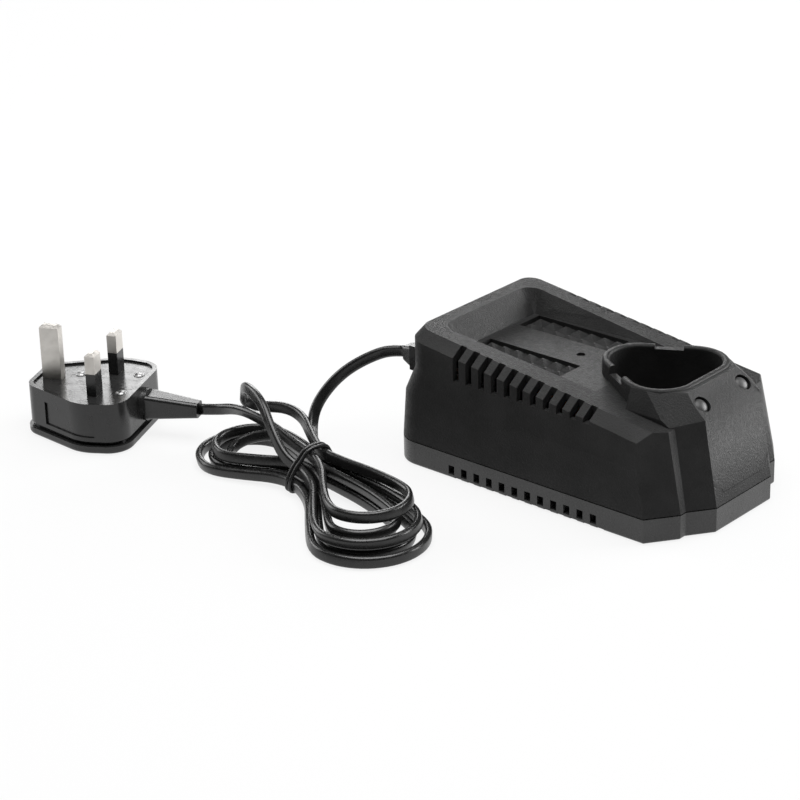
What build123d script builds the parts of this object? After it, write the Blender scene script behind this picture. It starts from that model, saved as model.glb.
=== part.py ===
from build123d import *
import math
import os

# Battery charger with a three-cell stick socket, its flat twin cord and its three-pin plug.
# Millimetres. +X runs to the socket end, +Y to the far long side, +Z up from the table.

os.makedirs("parts", exist_ok=True)

# Shells: overall sizes
case_length = 134.8
case_width = 82.8
seam_height = 9.7
shell_wall = 2.2
seam_gap = 0.4
bottom_round = 1.2
lip_height = 1.8
lip_wall = 1.2
lip_clearance = 0.5
cut_overrun = 30.0
back_corner_radius = 11.0
half_length = case_length / 2
half_width = case_width / 2

# Side creases of the upper shell: heights, then how far they stand in from the sides and the back
crease_low_height = 28.5
crease_low_inset = 0.9
crease_high_height = 39.2
crease_high_side_inset = 2.4
crease_high_back_inset = 6.4
upper_back_corner_radius = 8.0
form_top_height = 60.0
crease_low_half_width = half_width - crease_low_inset
crease_low_back = half_length - crease_low_inset
crease_high_half_width = half_width - crease_high_side_inset
crease_high_back = half_length - crease_high_back_inset

# Deck: falls gently towards the socket, with a sloping rim round its sides and its back
deck_height_at_middle = 47.2
deck_fall = 0.125
rim_side_run = 5.2
rim_back_run = 1.2
rim_drop = 3.4
rim_corner_radius = 6.0

# Front end: shoulders with a corner chamfer, and a tower that stands further forward
shoulder_setback = 6.8
shoulder_lean = 0.22
shoulder_step = 3.2
corner_chamfer_setback = 15.1
corner_chamfer_lean = 0.195
tower_side_inset = 14.6
tower_face_inset = 9.5
tower_chamfer_lean = 0.21
tower_bulge_setback = 2.0
tower_bulge_height = 26.0
tower_brow_setback = 6.0
tower_brow_height = 42.9
tower_top_setback = 15.2
tower_top_height = 50.6
tower_root_setback = 34.4
tower_side_lean = 0.42
tower_corner_setback = 15.5
tower_corner_inset = 5.9
tower_corner_height = 46.2
tower_corner_fall_forward = 0.56
tower_corner_fall_aside = 0.84
shoulder_x = half_length - shoulder_setback
corner_chamfer_start_x = half_length - corner_chamfer_setback
tower_half_width = half_width - tower_side_inset
corner_chamfer_end_y = tower_half_width + shoulder_step
tower_face_half_width = tower_half_width - tower_face_inset
tower_bulge_x = half_length - tower_bulge_setback
tower_brow_x = half_length - tower_brow_setback
tower_top_x = half_length - tower_top_setback
tower_root_x = half_length - tower_root_setback

# Battery socket: three cells in a triangle
cell_spacing = 19.0
socket_lobe_radius = 11.4
socket_wall = 2.7
socket_setback = 19.7
socket_rim_height = 51.3
socket_floor_height = 15.0
socket_floor_thickness = 2.0
rim_round = 1.1
notch_depth = 3.2
notch_length = 11.0
valley_turn = 30
socket_front_x = half_length - socket_setback

# Tray in the deck, with two strips of small pyramids and a dimple in its floor
tray_floor_height = 45.0
tray_side_inset = 17.1
tray_back_inset = 16.1
tray_front_setback = 47.4
tray_wall_taper = 17.0
tray_corner_radius = 4.0
pyramid_columns = 7
pyramid_rows = 2
pyramid_pitch = 6.2
pyramid_tip = 0.8
pyramid_depth = 2.0
strip_back_inset = 6.8
strip_inner_y = 8.8
dimple_diameter = 3.4
dimple_depth = 1.0
dimple_from_back = 43.5
tray_floor_half_width = half_width - tray_side_inset
tray_floor_back_x = tray_back_inset - half_length

# Vents
vent_pitch = 6.12
vent_back_inset = 29.3
slot_count = 11
slot_width = 2.8
slot_bite = 0.4
lower_vent_count = 12
lower_vent_back_inset = 28.4
lower_vent_height = 3.6
lower_vent_sill = 1.6
scallop_height = 0.9
vent_first_x = vent_back_inset - half_length
lower_vent_first_x = lower_vent_back_inset - half_length

# Screw posts and case screws
post_back_inset = 19.4
post_front_inset = 24.4
post_side_inset = 10.9
post_diameter = 7.0
screw_shank = 3.0
screw_head = 5.6
screw_head_height = 2.2
screw_length = 14.0
screw_clearance = 0.15
screw_recess = 1.0
post_back_x = post_back_inset - half_length
post_front_x = half_length - post_front_inset
post_y = half_width - post_side_inset

# Indicator windows
light_guide_diameter = 6.4
light_guide_depth = 2.6
light_guide_sink = 1.7
light_guide_y = 12.7
light_guide_rise_share = 0.48
light_guide_clearance = 0.15
light_pipe_diameter = 3.0
light_guide_pipe_share = 0.9
lamp_rim = 0.4
lamp_diameter = 3.0
lamp_height = 5.3

# Cord gland at the back
gland_side_inset = 13.4
gland_height = 39.5
gland_neck = 6.0
gland_neck_length = 4.4
gland_clearance = 0.1
gland_flange_height = 10.0
gland_flange_width = 8.4
gland_flange_depth = 4.6
gland_boot_length = 4.4
gland_boot_end = 6.0
gland_boot_round = 1.2
gland_y = gland_side_inset - half_width

# Plug: its place on the table from the case's near back corner, and the turn of its long axis
plug_offset = (-107.0, -49.2)
plug_turn = 24.0
plug_height = 20.0
plug_rim_height = 0.8
plug_end_u = -29.7
plug_end_half_width = 10.5
plug_shoulder_u = -2.0
plug_half_width = 24.3
plug_cord_u = 15.5
plug_cord_half_width = 21.5
plug_end_round = 7.0
plug_shoulder_round = 16.0
plug_cord_round = 9.0
plug_foot_height = 3.2
plug_foot_grow = 1.0
plug_foot_round = 1.4
plug_waist_height = 1.6
plug_waist_inset = 1.6
plug_panel_depth = 0.7
plug_panel_half_length = 12.0
plug_panel_low = 6.5
plug_panel_high = 16.0
plug_panel_middle_u = -8.0
plug_tip_reach = 0.5
plug_face_thickness = 4.0
plug_face_inset = 1.8
plug_face_clearance = 0.1
pin_spacing = 22.23
pin_thickness = 4.0
live_pin_width = 6.35
live_pin_length = 17.7
earth_pin_width = 8.0
earth_pin_length = 22.73
pin_root = 9.0
pin_tip_bevel = 1.1
sleeve_length = 9.3
sleeve_wall = 0.7
sleeve_clearance = 0.05
fuse_diameter = 6.3
fuse_length = 25.4
fuse_cap_length = 6.0
carrier_length = 29.0
carrier_width = 8.6
carrier_middle_u = -1.5
carrier_plate = 2.2
carrier_cheek = 0.9
carrier_clearance = 0.15
carrier_depth = 8.2
clip_thickness = 0.6
clip_length = 4.6
clip_gap = 0.15
plug_outlet_height = 12.6
plug_outlet_diameter = 13.0
plug_outlet_depth = 2.6
relief_root = 10.0
relief_end = 6.2
relief_length = 21.0
relief_round = 1.6
plug_place = (plug_offset[0] - half_length, plug_offset[1] - half_width)

# Cord: its size, its free stretches from the gland and to the plug, and its hank.
# Its places are measured from the case's near back corner.
cord_diameter = 4.4
cord_sides = 6
cord_arc_share = 0.45
gland_lead_first_run = 8.5
gland_lead_places = [
    (-19.1, 10.2, 37.0),
    (-26.4, 4.2, 31.0),
    (-31.0, -1.8, 23.0),
    (-33.2, -7.9, 14.3),
    (-30.1, -12.9, 7.2),
    (-22.9, -17.4, 4.0),
]
plug_lead_first_run = 9.0
plug_lead_places = [
    (-31.1, -43.8, 15.8),
    (-39.1, -37.4, 16.4),
    (-47.1, -31.8, 15.6),
    (-55.6, -28.9, 13.8),
]
plug_lead_last_run = 8.5
hank_offset = (-5.6, -38.6)
hank_turns_in = 2.5625
hank_turns = 5.5
hank_nodes_a_turn = 8
hank_step = 5.6
hank_layer = 4.9
hank_base = 2.3
hank_waist_lift = 1.7
hank_waist_half_width = 15.4
hank_right_turn = -24.0
hank_right_reach = 50.0
hank_right_half_width = 23.0
hank_left_turn = -4.0
hank_left_reach = 36.0
hank_left_half_width = 20.0
hank_end_run = 4.4
hank_exit_lift = 1.2
hank_exit_pitch = 15.0
straight_lean = 0.00001
gap_point_share = 0.5
tie_diameter = 1.2
tie_clearance = 0.25
tie_turns = 2
tie_pitch = 1.9
tie_round = 2.4
hank_place = (hank_offset[0] - half_length, hank_offset[1] - half_width)

# Circuit board
board_height = 5.6
board_thickness = 1.6
board_back_inset = 11.4
board_front_inset = 27.4
board_side_inset = 16.4
tongue_front_inset = 8.9
tongue_half_width = 17.0
board_post_diameter = 5.0
board_post_inset = 4.0
board_screw_shank = 2.2
board_screw_head = 4.2
board_screw_head_height = 1.6
board_screw_length = 5.0
board_back_x = board_back_inset - half_length
board_front_x = half_length - board_front_inset
board_half_width = half_width - board_side_inset
tongue_front_x = half_length - tongue_front_inset

# Parts on the circuit board: places from the middle of its back edge, then sizes
transformer_place = (37.0, 5.5)
core_length = 30.0
core_depth = 10.0
core_height = 25.0
core_leg = 5.0
core_centre_leg = 9.0
bobbin_wall = 0.9
bobbin_flange = 1.2
bobbin_flange_depth = 22.0
winding_depth = 19.0
core_seat = 2.0
part_clearance = 0.2
bulk_capacitor_place = (13.0, 14.5)
bulk_capacitor_diameter = 16.0
bulk_capacitor_height = 26.0
output_capacitor_place = (55.2, 17.0)
output_capacitor_diameter = 10.0
output_capacitor_height = 17.0
capacitor_bead = 0.5
capacitor_bead_height = 2.4
choke_place = (7.0, 1.5)
choke_diameter = 11.0
choke_height = 10.0
choke_waist = 8.4
choke_cheek = 1.4
board_fuse_place = (10.5, -10.5)
board_fuse_diameter = 8.4
board_fuse_height = 7.6
heatsink_from_back = 35.0
heatsink_length = 34.0
heatsink_height = 26.0
heatsink_plate = 2.4
heatsink_fin_depth = 5.0
heatsink_fin_thickness = 1.4
heatsink_fin_count = 7
heatsink_place = (heatsink_from_back, heatsink_plate + heatsink_fin_depth - board_half_width)
transistor_width = 10.2
transistor_height = 15.6
transistor_thickness = 3.6
transistor_lift = 6.0
transistor_hole_share = 0.8
transistor_leg = 0.9
transistor_screw_shank = 2.8
transistor_screw_head = 5.2
transistor_screw_head_height = 1.8
chip_place = (58.6, -12.6)
chip_length = 9.6
chip_width = 6.4
chip_height = 3.4
lead_diameter = 2.0
lead_spacing = 2.8
lead_drop_inset = 2.5
lead_drop_y = -16.5
lead_swing = 10.0
lead_drop_x = board_back_x + lead_drop_inset

# Contact holder at the foot of the socket
terminal_setback = 17.7
terminal_length = 18.0
terminal_width = 9.0
terminal_rise = 4.0
terminal_clearance = 0.2
terminal_bevel = 0.6
blade_count = 3
blade_pitch = 5.6
blade_thickness = 0.8
blade_width = 5.0
blade_rise = 5.0
terminal_x = socket_front_x - terminal_setback


def save(shape, node):
    """Writes one piece to its own file."""
    export_step(shape, f"parts/{node}.step")


def plane_at(point, normal, inset=0.0):
    """A cutting plane through a point, moved inwards by an inset."""
    direction = Vector(*normal).normalized()
    return Plane(origin=Vector(*point) - direction * inset, z_dir=direction)


def keep_below(shape, plane):
    """The part of a shape on the inner side of a plane."""
    return split(shape, bisect_by=plane, keep=Keep.BOTTOM)


def both_sides(point, normal, inset=0.0):
    """A plane and its mirror image across the charger's middle."""
    far = plane_at(point, normal, inset)
    near = plane_at((point[0], -point[1], point[2]), (normal[0], -normal[1], normal[2]), inset)
    return far, near


def rounded_back(front_x, back_x, half_y, radius, height):
    """A level outline with square front corners and round back corners."""
    front = [(front_x, -half_y), (front_x, half_y)]
    back = [(back_x, half_y), (back_x, -half_y)]
    face = make_face(Polyline(*front, *back, close=True))
    corners = face.vertices().sort_by(Axis.X)[:2]
    return Pos(0, 0, height) * fillet(corners, radius)


def horizontal_normal(start, end):
    """The outward level direction of a wall that runs from one plan point to another."""
    run_x = end[0] - start[0]
    run_y = end[1] - start[1]
    length = math.hypot(run_x, run_y)
    return (-run_y / length, run_x / length)


def deck_roof(inset):
    """All that lies below the sloping deck and its rim, which runs round the back corners."""
    side = crease_high_half_width - inset
    back = inset - crease_high_back
    outer_radius = upper_back_corner_radius * 2 - rim_corner_radius
    levels = [
        (-case_width, -case_length, case_width, outer_radius),
        (-rim_drop * 2, back - rim_back_run, side + rim_side_run, outer_radius - inset),
        (0, back + rim_back_run, side - rim_side_run, rim_corner_radius - inset),
    ]
    outlines = [rounded_back(case_length, x, y, radius, height - inset) for height, x, y, radius in levels]
    fall = math.degrees(math.atan(deck_fall))
    return Pos(0, 0, deck_height_at_middle) * Rot(0, fall, 0) * loft(outlines, ruled=True)


def main_form(inset, bottom):
    """The body behind the tower, with its creased sides, sloping deck and cut front corners."""
    levels = [
        (bottom, half_length, half_width, back_corner_radius),
        (crease_low_height, crease_low_back, crease_low_half_width, back_corner_radius),
        (crease_high_height, crease_high_back, crease_high_half_width, upper_back_corner_radius),
        (form_top_height, crease_high_back, crease_high_half_width, upper_back_corner_radius),
    ]
    outlines = [
        rounded_back(half_length, inset - back, side - inset, radius - inset, height)
        for height, back, side, radius in levels
    ]
    form = loft(outlines, ruled=True)
    form &= deck_roof(inset)
    form = keep_below(form, plane_at((shoulder_x, 0, seam_height), (1, 0, shoulder_lean), inset))
    start = (shoulder_x, corner_chamfer_end_y)
    across, along = horizontal_normal((corner_chamfer_start_x, half_width), start)
    corner = (corner_chamfer_start_x, half_width, seam_height)
    for plane in both_sides(corner, (abs(across), abs(along), corner_chamfer_lean), inset):
        form = keep_below(form, plane)
    return form


def tower_profile(inset):
    """Side view of the tower: a bowed front that leans back and bends over into its brow."""
    front = half_length - inset
    seat = light_guide_seat(0).origin
    bow = Spline(
        (front, seam_height),
        (tower_bulge_x - inset, tower_bulge_height),
        (tower_brow_x - inset, tower_brow_height),
        (seat.X - inset, seat.Z),
        (tower_top_x - inset, tower_top_height - inset),
    )
    rest = Polyline(
        (tower_top_x - inset, tower_top_height - inset),
        (tower_root_x, tower_top_height - inset),
        (tower_root_x, 0),
        (front, 0),
        (front, seam_height),
    )
    return make_face(Plane.XZ * (bow + rest))


def tower_form(inset, bottom):
    """The narrower block that carries the socket and stands forward of the shoulders."""
    form = extrude(tower_profile(inset), amount=case_width / 2, both=True)
    form = split(form, bisect_by=Plane.XY.offset(bottom), keep=Keep.TOP)
    end = (half_length, tower_face_half_width)
    across, along = horizontal_normal((shoulder_x, tower_half_width), end)
    chamfer_foot = (half_length, tower_face_half_width, seam_height)
    corner = (half_length - tower_corner_setback, tower_half_width - tower_corner_inset, tower_corner_height)
    sides = [
        (chamfer_foot, (abs(across), abs(along), tower_chamfer_lean)),
        (corner, (tower_corner_fall_forward, tower_corner_fall_aside, 1)),
        ((tower_root_x, tower_half_width, tower_brow_height), (0, 1, tower_side_lean)),
        ((tower_root_x, tower_half_width, seam_height), (0, 1, 0)),
    ]
    for point, normal in sides:
        for plane in both_sides(point, normal, inset):
            form = keep_below(form, plane)
    return form


def outer_form(inset, bottom):
    """Outline of the closed charger, or of its hollow when inset by the wall."""
    return main_form(inset, bottom) + tower_form(inset, bottom)


def socket_outline(grow):
    """Three touching cells seen from above, with a clearance or a wall round them."""
    front_row_x = socket_front_x - socket_lobe_radius
    back_row_x = front_row_x - cell_spacing * math.sin(math.radians(60))
    cells = Polyline(
        (back_row_x, 0), (front_row_x, cell_spacing / 2), (front_row_x, -cell_spacing / 2), close=True
    )
    return offset(make_face(cells), amount=socket_lobe_radius + grow)


def block(x_range, y_range, z_range):
    """A box between two limits on each axis."""
    size = [high - low for low, high in (x_range, y_range, z_range)]
    middle = [(high + low) / 2 for low, high in (x_range, y_range, z_range)]
    return Pos(*middle) * Box(*size)


def rod(diameter, base, height, direction=(0, 0, 1)):
    """A round bar that starts at a point and runs along a direction."""
    seat = Plane(origin=base, z_dir=direction)
    return extrude(seat * Circle(diameter / 2), amount=height)


def post_places():
    """The four places where a screw joins the shells."""
    return [(x, y) for x in (post_back_x, post_front_x) for y in (-post_y, post_y)]


def tray_block(grow):
    """The tray pocket, or the walls round it when grown by the shell's wall."""
    floor = tray_floor_height - grow
    outline = rounded_back(
        half_length - tray_front_setback,
        tray_floor_back_x - grow,
        tray_floor_half_width + grow,
        tray_corner_radius + grow,
        floor,
    )
    return extrude(outline, amount=form_top_height - floor, taper=-tray_wall_taper)


def strip_block(side, grow):
    """The sunk strip of the tray's floor along one side, or the wall round it when grown."""
    start = tray_floor_back_x + strip_back_inset
    x_range = (start - grow, start + pyramid_columns * pyramid_pitch + grow)
    outer_y = strip_inner_y + pyramid_rows * pyramid_pitch + grow
    y_range = sorted((side * (strip_inner_y - grow), side * outer_y))
    return block(x_range, y_range, (tray_floor_height - pyramid_depth - grow, tray_floor_height))


def strip_pyramids(side):
    """The small pyramids that fill a strip up to the tray's floor."""
    floor = tray_floor_height - pyramid_depth
    base = Plane.XY.offset(floor)
    stone = loft([base * Rectangle(pyramid_pitch, pyramid_pitch),
                  base.offset(pyramid_depth) * Rectangle(pyramid_tip, pyramid_tip)])
    start = tray_floor_back_x + strip_back_inset + pyramid_pitch / 2
    return [
        Pos(start + column * pyramid_pitch, side * (strip_inner_y + (row + 1 / 2) * pyramid_pitch), 0) * stone
        for column in range(pyramid_columns)
        for row in range(pyramid_rows)
    ]


def socket_tube():
    """The socket's wall and floor, with a rounded rim that is lower along both back sides."""
    foot = socket_floor_height - socket_floor_thickness
    tube = extrude(Pos(0, 0, foot) * socket_outline(socket_wall), amount=socket_rim_height - foot)
    tube -= extrude(Pos(0, 0, socket_floor_height) * socket_outline(0), amount=socket_rim_height)
    tube = fillet(tube.edges().group_by(Axis.Z)[-1], rim_round)
    middle_x = socket_front_x - socket_lobe_radius - cell_spacing * math.sin(math.radians(60)) / 2
    reach = socket_lobe_radius + socket_wall
    for side in (-1, 1):
        notch = Box(notch_length, socket_wall * 4, notch_depth * 2)
        turn = Rot(0, 0, side * valley_turn)
        valley = Pos(middle_x, side * cell_spacing / 4, socket_rim_height)
        tube -= valley * turn * Pos(0, side * reach, 0) * notch
    return tube


def upper_housing():
    """Top shell: hollow, open below, with the tray, the socket and the side slots."""
    foot = seam_height + seam_gap
    hollow = outer_form(shell_wall, seam_height) - tray_block(shell_wall)
    well_foot = socket_floor_height - socket_floor_thickness
    hollow -= extrude(Pos(0, 0, well_foot) * socket_outline(socket_wall), amount=form_top_height)
    for side in (-1, 1):
        hollow -= strip_block(side, shell_wall)
    for x, y in post_places():
        hollow -= rod(post_diameter, (x, y, seam_height), form_top_height)
    shell = outer_form(0, foot) - tray_block(0) + socket_tube()
    shell -= hollow
    for side in (-1, 1):
        shell -= strip_block(side, 0)
        shell += strip_pyramids(side)
    dimple = (tray_floor_back_x + dimple_from_back, 0, tray_floor_height)
    shell -= rod(dimple_diameter, dimple, dimple_depth, (0, 0, -1))
    shell -= extrude(Pos(0, 0, socket_floor_height) * socket_outline(0), amount=form_top_height)
    for index in range(slot_count):
        start = vent_first_x + index * vent_pitch
        for side in (-1, 1):
            rim_y = crease_high_half_width - rim_side_run - slot_bite
            inner, outer = sorted((side * rim_y, side * case_width))
            shell -= block((start, start + slot_width), (inner, outer), (crease_high_height, form_top_height))
    screw_reach = screw_length + screw_recess + screw_head_height
    for x, y in post_places():
        shell -= rod(screw_shank + screw_clearance * 2, (x, y, 0), screw_reach)
    shell -= terminal_window()
    for side in (-1, 1):
        shell -= light_guide_lens(side, light_guide_clearance)
        shell -= light_pipe(side, light_guide_clearance)
    shell -= gland_window()
    return shell


def terminal_window():
    """The opening in the socket's floor that the contact holder stands in."""
    reach = terminal_length / 2 + terminal_clearance
    side = terminal_width / 2 + terminal_clearance
    return block(
        (terminal_x - reach, terminal_x + reach),
        (-side, side),
        (0, socket_floor_height + socket_floor_thickness),
    )


def light_guide_seat(side):
    """The plane of the brow where an indicator window sits, facing outwards."""
    rise = tower_top_height - tower_brow_height
    run = tower_brow_x - tower_top_x
    height = tower_brow_height + rise * light_guide_rise_share
    x = tower_brow_x - run * light_guide_rise_share
    return Plane(origin=(x, side * light_guide_y, height), z_dir=(rise, 0, run))


def light_guide_lens(side, grow):
    """The round window, sunk a little below the brow."""
    seat = light_guide_seat(side).offset(-light_guide_sink if not grow else cut_overrun / 10)
    depth = light_guide_depth if not grow else light_guide_depth + light_guide_sink + cut_overrun / 10
    return extrude(seat * Circle(light_guide_diameter / 2 + grow), amount=-depth)


def gland_block(width, height, x_range, grow=0.0):
    """A square piece of the gland, centred on the cord's exit."""
    half_y = width / 2 + grow
    half_z = height / 2 + grow
    heights = (gland_height - half_z, gland_height + half_z)
    return block(x_range, (gland_y - half_y, gland_y + half_y), heights)


def gland_window():
    """The opening in the back wall for the gland's neck, and the seat of its flange."""
    neck = (-case_length, gland_neck_length - crease_high_back)
    seat = (-case_length, -crease_high_back)
    window = gland_block(gland_neck, gland_neck, neck, gland_clearance)
    return window + gland_block(gland_flange_width, gland_flange_height, seat, gland_clearance)


def case_plan(inset):
    """Plan of the charger at the seam, pulled in by an inset."""
    half = [
        (-half_length, half_width),
        (corner_chamfer_start_x, half_width),
        (shoulder_x, corner_chamfer_end_y),
        (shoulder_x, tower_half_width),
        (half_length, tower_face_half_width),
    ]
    mirrored = [(x, -y) for x, y in reversed(half)]
    face = make_face(Polyline(*half, *mirrored, close=True))
    face = fillet(face.vertices().sort_by(Axis.X)[:2], back_corner_radius)
    return offset(face, amount=-inset, kind=Kind.INTERSECTION) if inset else face


def lower_housing():
    """Bottom tray with screw posts, a lip under the seam and a row of vents along each side."""
    top = seam_height
    tray = extrude(case_plan(0), amount=top)
    tray = fillet(tray.edges().group_by(Axis.Z)[0], bottom_round)
    tray -= extrude(Pos(0, 0, shell_wall) * case_plan(shell_wall), amount=top)
    lip_outer = shell_wall + lip_clearance
    lip = extrude(Pos(0, 0, shell_wall) * case_plan(shell_wall), amount=top - shell_wall)
    lip += extrude(Pos(0, 0, shell_wall) * case_plan(lip_outer), amount=top + lip_height - shell_wall)
    lip -= extrude(case_plan(lip_outer + lip_wall), amount=top + lip_height)
    front = (corner_chamfer_start_x, case_length)
    tray += lip - block(front, (-case_width, case_width), (top, top + lip_height))
    for x, y in post_places():
        tray += rod(post_diameter, (x, y, 0), seam_height)
    for x, y in post_places():
        tray -= rod(screw_shank + screw_clearance * 2, (x, y, 0), seam_height)
        tray -= rod(screw_head + screw_clearance * 2, (x, y, 0), screw_head_height + screw_recess)
    for x, y in board_post_places():
        tray += rod(board_post_diameter, (x, y, 0), board_height)
    for x, y in board_post_places():
        tray -= rod(board_screw_shank + screw_clearance * 2, (x, y, shell_wall), board_height)
    for index in range(lower_vent_count):
        start = lower_vent_first_x + index * vent_pitch
        for side in (-1, 1):
            inner, outer = sorted((side * (half_width - shell_wall - lip_wall * 2), side * case_width))
            sill = (lower_vent_sill, lower_vent_sill + lower_vent_height)
            tray -= block((start, start + slot_width), (inner, outer), sill)
            foot_edge = sorted((side * (half_width - bottom_round), side * case_width))
            gap_start = start + slot_width
            tray -= block((gap_start, gap_start + vent_pitch - slot_width), foot_edge, (0, scallop_height))
    return tray


def board_post_places():
    """The four places where a small screw holds the board to the bottom tray."""
    ends = (board_back_x + board_post_inset, board_front_x - board_post_inset)
    side = board_half_width - board_post_inset / 2
    return [(x, y) for x in ends for y in (-side, side)]


def screw(shank, head, head_height, length, place, up):
    """A pan head screw whose head's seat is at the given place, driven up or down."""
    direction = (0, 0, 1 if up else -1)
    seat = Plane(origin=place, z_dir=direction)
    body = extrude(seat * Circle(shank / 2), amount=length - head_height)
    return body + extrude(seat * Circle(head / 2), amount=-head_height)


def group(shapes):
    """Several like pieces kept as separate solids of one node."""
    return Compound(children=[solid for shape in shapes for solid in shape.solids()])


def case_screws():
    """Four screws, driven up from recesses in the underside."""
    seat = screw_head_height + screw_recess
    return group(
        screw(screw_shank, screw_head, screw_head_height, screw_length, (x, y, seat), True)
        for x, y in post_places()
    )


board_top = board_height + board_thickness


def circuit_board():
    """The board, with a tongue under the indicators and holes for its screws."""
    through = (board_height, board_top)
    board = block((board_back_x, board_front_x), (-board_half_width, board_half_width), through)
    board += block((board_front_x, tongue_front_x), (-tongue_half_width, tongue_half_width), through)
    for x, y in board_post_places():
        board -= rod(board_screw_shank + screw_clearance * 2, (x, y, board_height), board_thickness)
    return board


def board_screws():
    """Four small screws, driven down through the board."""
    sizes = (board_screw_shank, board_screw_head, board_screw_head_height, board_screw_length)
    return group(screw(*sizes, (x, y, board_top), False) for x, y in board_post_places())


def on_board(shape, place):
    """Stands a piece on the board."""
    return Pos(board_back_x + place[0], place[1], board_top) * shape


def transformer_core():
    """A pair of E cores: a frame with a centre leg, standing on edge."""
    window = (core_length - core_leg * 2 - core_centre_leg) / 2
    half_length_x = core_length / 2
    half_depth = core_depth / 2
    heights = (core_seat, core_seat + core_height)
    frame = block((-half_length_x, half_length_x), (-half_depth, half_depth), heights)
    for side in (-1, 1):
        middle = side * (core_centre_leg + window) / 2
        frame -= block(
            (middle - window / 2, middle + window / 2),
            (-core_depth, core_depth),
            (core_seat + core_leg, core_seat + core_height - core_leg),
        )
    return on_board(frame, transformer_place)


def sleeve_block(inner_x, inner_y, outer_x, outer_y, z_range):
    """A square tube round the core's centre leg."""
    outer = block((-outer_x, outer_x), (-outer_y, outer_y), z_range)
    return outer - block((-inner_x, inner_x), (-inner_y, inner_y), z_range)


def bobbin_sizes():
    """Half sizes of the bobbin's hole, its barrel and its winding, and the heights between its flanges."""
    hole_x = core_centre_leg / 2 + part_clearance
    hole_y = core_depth / 2 + part_clearance
    outer_x = core_length / 2 - core_leg - part_clearance
    low = core_seat + core_leg + part_clearance
    high = core_seat + core_height - core_leg - part_clearance
    return hole_x, hole_y, outer_x, low, high


def transformer_bobbin():
    """The moulded former that carries the winding, with a foot on the board."""
    hole_x, hole_y, outer_x, low, high = bobbin_sizes()
    barrel = sleeve_block(hole_x, hole_y, hole_x + bobbin_wall, hole_y + bobbin_wall, (low, high))
    flange_y = bobbin_flange_depth / 2
    for base in (low, high - bobbin_flange):
        barrel += sleeve_block(hole_x, hole_y, outer_x, flange_y, (base, base + bobbin_flange))
    for side in (-1, 1):
        inner, outer = sorted((side * (hole_y + bobbin_wall), side * flange_y))
        barrel += block((-outer_x, outer_x), (inner, outer), (0, low + bobbin_flange))
    return on_board(barrel, transformer_place)


def transformer_winding():
    """The copper winding between the former's flanges, under its tape."""
    hole_x, hole_y, outer_x, low, high = bobbin_sizes()
    gap = bobbin_flange + part_clearance / 2
    winding = sleeve_block(
        hole_x + bobbin_wall + part_clearance / 2,
        hole_y + bobbin_wall + part_clearance / 2,
        outer_x - part_clearance,
        winding_depth / 2,
        (low + gap, high - gap),
    )
    return on_board(winding, transformer_place)


def capacitor(diameter, height, place):
    """A can with a crimped bead near its foot."""
    radius = diameter / 2
    neck = radius - capacitor_bead
    profile = Polyline(
        (0, 0),
        (radius, 0),
        (radius, capacitor_bead_height - capacitor_bead),
        (neck, capacitor_bead_height),
        (radius, capacitor_bead_height + capacitor_bead),
        (radius, height - capacitor_bead),
        (neck, height),
        (0, height),
        close=True,
    )
    return on_board(revolve(Plane.XZ * make_face(profile), Axis.Z), place)


def input_choke():
    """A drum choke with a wound waist between two cheeks."""
    drum = rod(choke_waist, (0, 0, 0), choke_height)
    drum += rod(choke_diameter, (0, 0, 0), choke_cheek)
    drum += rod(choke_diameter, (0, 0, choke_height - choke_cheek), choke_cheek)
    return on_board(drum, choke_place)


def board_fuse():
    """A round time lag fuse, soldered upright."""
    can = rod(board_fuse_diameter, (0, 0, 0), board_fuse_height)
    return on_board(fillet(can.edges().group_by(Axis.Z)[-1], capacitor_bead), board_fuse_place)


def heatsink():
    """A finned plate that stands on the board, fins outwards."""
    plate = block((-heatsink_length / 2, heatsink_length / 2), (-heatsink_plate, 0), (0, heatsink_height))
    step = (heatsink_length - heatsink_fin_thickness) / (heatsink_fin_count - 1)
    for index in range(heatsink_fin_count):
        start = index * step - heatsink_length / 2
        fin_depth = (-heatsink_plate - heatsink_fin_depth, -heatsink_plate)
        plate += block((start, start + heatsink_fin_thickness), fin_depth, (0, heatsink_height))
    hole_height = transistor_lift + transistor_height * transistor_hole_share
    hole = transistor_screw_shank + screw_clearance * 2
    plate -= rod(hole, (0, -heatsink_plate, hole_height), heatsink_plate, (0, 1, 0))
    return on_board(plate, heatsink_place)


def power_transistor():
    """A flat switching transistor, held flat against the plate by one screw."""
    half_x = transistor_width / 2
    heights = (transistor_lift, transistor_lift + transistor_height)
    body = block((-half_x, half_x), (0, transistor_thickness), heights)
    hole_height = transistor_lift + transistor_height * transistor_hole_share
    hole = transistor_screw_shank + screw_clearance * 2
    body -= rod(hole, (0, 0, hole_height), transistor_thickness, (0, 1, 0))
    for offset_share in (-1, 0, 1):
        leg_x = offset_share * transistor_width / 4
        leg = block(
            (leg_x - transistor_leg / 2, leg_x + transistor_leg / 2),
            (transistor_thickness / 2, transistor_thickness / 2 + transistor_leg),
            (0, transistor_lift),
        )
        body += leg
    return on_board(body, heatsink_place)


def transistor_screw():
    """The screw through the transistor into the plate."""
    hole_height = transistor_lift + transistor_height * transistor_hole_share
    seat = (0, transistor_thickness, hole_height)
    head = rod(transistor_screw_head, seat, transistor_screw_head_height, (0, 1, 0))
    shank = rod(transistor_screw_shank, seat, transistor_thickness + heatsink_plate, (0, -1, 0))
    return on_board(head + shank, heatsink_place)


def controller_chip():
    """The charge controller, an eight leg package."""
    body = block((-chip_length / 2, chip_length / 2), (-chip_width / 2, chip_width / 2), (0, chip_height))
    return on_board(chamfer(body.edges().group_by(Axis.Z)[-1], capacitor_bead), chip_place)


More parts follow.
